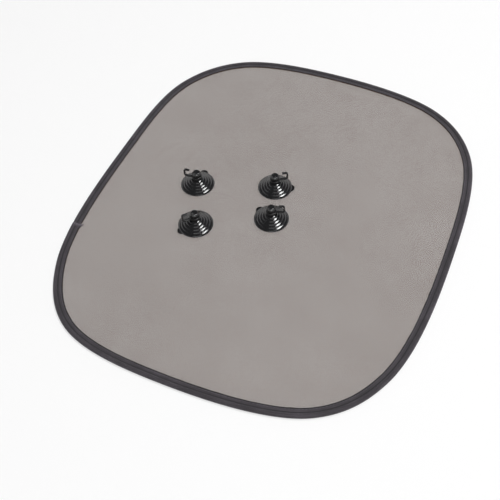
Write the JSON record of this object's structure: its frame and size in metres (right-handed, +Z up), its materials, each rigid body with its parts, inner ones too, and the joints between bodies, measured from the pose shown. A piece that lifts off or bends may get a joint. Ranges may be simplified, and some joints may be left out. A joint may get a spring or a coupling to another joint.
{
  "type": "car side window sunshade",
  "caption": "Flat folding window shade: a sprung wire hoop in a sewn fabric edge, filled with fine see-through net, with small suction cups and turning hooks lying on it.",
  "frame": {"origin": "on the floor under the middle of the hoop's outline", "axes": "+Z up from the floor, +X along the hoop's long side, +Y along its short side"},
  "size_m": [0.44, 0.368, 0.0221],
  "materials": {
    "net": "fine open polyester net, matt, see-through",
    "binding": "woven charcoal tape, folded and sewn, slight sheen",
    "spring_steel": "bright drawn spring wire",
    "cup": "glossy moulded soft black PVC",
    "hook": "moulded black plastic"
  },
  "bodies": {
    "shade": {"mesh_panel": "net", "edge_binding": "binding", "spring_wire": "spring_steel", "wire_sleeve": "spring_steel", "suction_cup_1": "cup", "suction_cup_2": "cup", "suction_cup_3": "cup", "suction_cup_4": "cup"},
    "hook_1": {"cup_hook_1": "hook"},
    "hook_2": {"cup_hook_2": "hook"},
    "hook_3": {"cup_hook_3": "hook"},
    "hook_4": {"cup_hook_4": "hook"}
  },
  "joints": [
    {"name": "hook_1_turn", "type": "hinge", "parent": "shade", "child": "hook_1", "pos_m": [0.00132, 0.08372, 0.0132], "axis": [0, 0, 1], "continuous": true},
    {"name": "hook_2_turn", "type": "hinge", "parent": "shade", "child": "hook_2", "pos_m": [0.02398, 0.00644, 0.0132], "axis": [0, 0, 1], "continuous": true},
    {"name": "hook_3_turn", "type": "hinge", "parent": "shade", "child": "hook_3", "pos_m": [-0.0495, 0.06293, 0.0132], "axis": [0, 0, 1], "continuous": true},
    {"name": "hook_4_turn", "type": "hinge", "parent": "shade", "child": "hook_4", "pos_m": [-0.0176, -0.00515, 0.0132], "axis": [0, 0, 1], "continuous": true}
  ]
}
